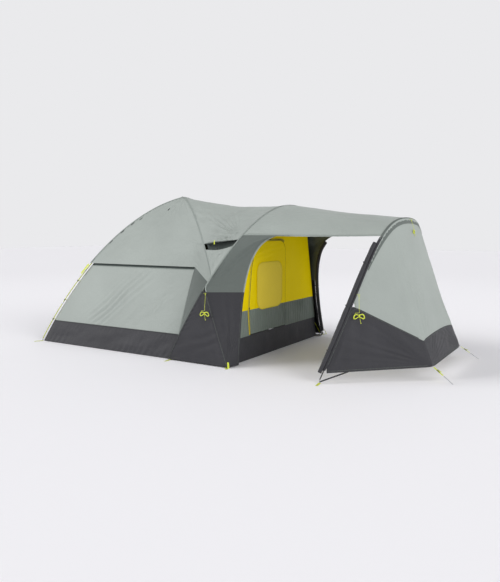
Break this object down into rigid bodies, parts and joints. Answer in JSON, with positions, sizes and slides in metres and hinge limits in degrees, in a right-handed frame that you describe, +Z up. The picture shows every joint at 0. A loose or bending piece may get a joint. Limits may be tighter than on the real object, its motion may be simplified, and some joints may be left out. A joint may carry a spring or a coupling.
{
  "type": "dome tent",
  "caption": "Freestanding dome tent with crossed poles, a vented fly, a D-door inner wall and a pole-supported awning with a staked end panel.",
  "frame": {"origin": "on the ground, under the crossing of the two main poles", "axes": "+X from the cabin towards the awning, +Z up"},
  "size_m": [5.3303, 2.7926, 1.9375],
  "materials": {
    "fly_light": "coated polyester taffeta, light grey green",
    "fly_mid": "coated polyester taffeta, mid grey",
    "fly_dark": "coated polyester oxford, charcoal",
    "mesh": "knitted polyester mesh",
    "wall_yellow": "uncoated polyester, yellow",
    "window_mesh": "polyester mesh over yellow lining",
    "zip_coil": "nylon coil on woven tape",
    "zip_metal": "painted die cast slider",
    "pole": "pultruded fibreglass, matt",
    "ferrule": "drawn tube, satin",
    "black_plastic": "moulded acetal",
    "webbing": "woven polyester webbing",
    "guyline": "braided polyester cord",
    "peg_steel": "zinc plated steel wire"
  },
  "bodies": {
    "tent": {"groundsheet": "fly_dark", "bathtub": "fly_dark", "side_wall_near": "fly_light", "side_wall_far": "fly_light", "rear_wall": "fly_light", "eave_mesh": "mesh", "quarter_near": "fly_mid", "quarter_far": "fly_mid", "corner_near": "fly_dark", "corner_far": "fly_dark", "wing_near_lower": "fly_dark", "wing_near_upper": "fly_mid", "wing_far_lower": "fly_dark", "wing_far_upper": "fly_mid", "roof_near": "fly_light", "roof_far": "fly_light", "roof_rear": "fly_light", "roof_front": "fly_light", "gusset_near": "fly_mid", "gusset_far": "fly_mid", "vent_mesh": "mesh", "awning_roof": "fly_light", "end_panel_upper": "fly_light", "end_panel_lower": "fly_dark", "hoop_sleeve": "fly_mid", "rolled_door_near": "fly_dark", "rolled_door_far": "fly_dark", "inner_canopy": "mesh", "inner_side_walls": "mesh", "front_wall": "wall_yellow", "front_skirt": "fly_mid", "door_zip": "zip_coil", "main_pole_1": "pole", "main_pole_2": "pole", "arch_pole": "pole", "hoop_pole": "pole", "pole_ferrules": "ferrule", "pole_tips": "ferrule", "pole_clips": "black_plastic", "corner_tabs": "webbing", "hem_straps": "webbing", "guy_loops": "webbing", "guy_side": "guyline", "guy_end": "guyline", "guy_top": "guyline", "hank_side": "guyline", "hank_end": "guyline", "hank_top": "guyline"},
    "door": {"door_panel": "wall_yellow", "door_window": "window_mesh"},
    "zip_slider": {"zip_slider": "zip_metal"},
    "hood_near": {"hood_near": "fly_light"},
    "hood_far": {"hood_far": "fly_light"},
    "strut_near": {"vent_struts_near": "black_plastic"},
    "strut_far": {"vent_struts_far": "black_plastic"},
    "stake_strap_near": {"strap_near": "webbing"},
    "stake_strap_far": {"strap_far": "webbing"},
    "peg_near": {"peg_near": "peg_steel"},
    "peg_far": {"peg_far": "peg_steel"},
    "lantern_ring": {"lantern_ring": "black_plastic"}
  },
  "joints": [
    {"name": "door_hinge", "type": "hinge", "parent": "tent", "child": "door", "pos_m": [1.5, 0.134, 0.8], "axis": [0, 0, 1], "range_deg": [0, 100]},
    {"name": "zip_travel", "type": "slide", "parent": "tent", "child": "zip_slider", "axis": [0, 0.124, 0.9923], "range_m": [0, 0.33]},
    {"name": "hood_near_hinge", "type": "hinge", "parent": "tent", "child": "hood_near", "pos_m": [0.8534, -0.6706, 1.3253], "axis": [0.9349, -0.3421, 0.0945], "range_deg": [0, 12]},
    {"name": "hood_far_hinge", "type": "hinge", "parent": "tent", "child": "hood_far", "pos_m": [0.8534, 0.6706, 1.3253], "axis": [-0.9349, -0.3421, -0.0945], "range_deg": [0, 12]},
    {"name": "strut_near_fold", "type": "hinge", "parent": "tent", "child": "strut_near", "pos_m": [1.1087, -0.8141, 1.2709], "axis": [0.9349, -0.3421, 0.0945], "range_deg": [-30, 0]},
    {"name": "strut_far_fold", "type": "hinge", "parent": "tent", "child": "strut_far", "pos_m": [1.1087, 0.8141, 1.2709], "axis": [-0.9349, -0.3421, -0.0945], "range_deg": [-30, 0]},
    {"name": "strap_near_swing", "type": "hinge", "parent": "tent", "child": "stake_strap_near", "pos_m": [3.553, -0.611, 0.145], "axis": [-0.2276, -0.9738, 0], "range_deg": [0, 85]},
    {"name": "strap_far_swing", "type": "hinge", "parent": "tent", "child": "stake_strap_far", "pos_m": [3.553, 0.611, 0.145], "axis": [0.2276, -0.9738, 0], "range_deg": [0, 85]},
    {"name": "peg_near_drive", "type": "slide", "parent": "stake_strap_near", "child": "peg_near", "axis": [0.8121, -0.1898, -0.5517], "range_m": [0, 0.1]},
    {"name": "peg_far_drive", "type": "slide", "parent": "stake_strap_far", "child": "peg_far", "axis": [0.8121, 0.1898, -0.5517], "range_m": [0, 0.1]},
    {"name": "lantern_swing", "type": "hinge", "parent": "tent", "child": "lantern_ring", "pos_m": [0, 0, 1.853], "axis": [1, 0, 0], "range_deg": [-60, 60]}
  ],
  "couplings": [
    {"joint": "strut_near_fold", "follows": "hood_near_hinge", "ratio": -2.5},
    {"joint": "strut_far_fold", "follows": "hood_far_hinge", "ratio": -2.5}
  ]
}
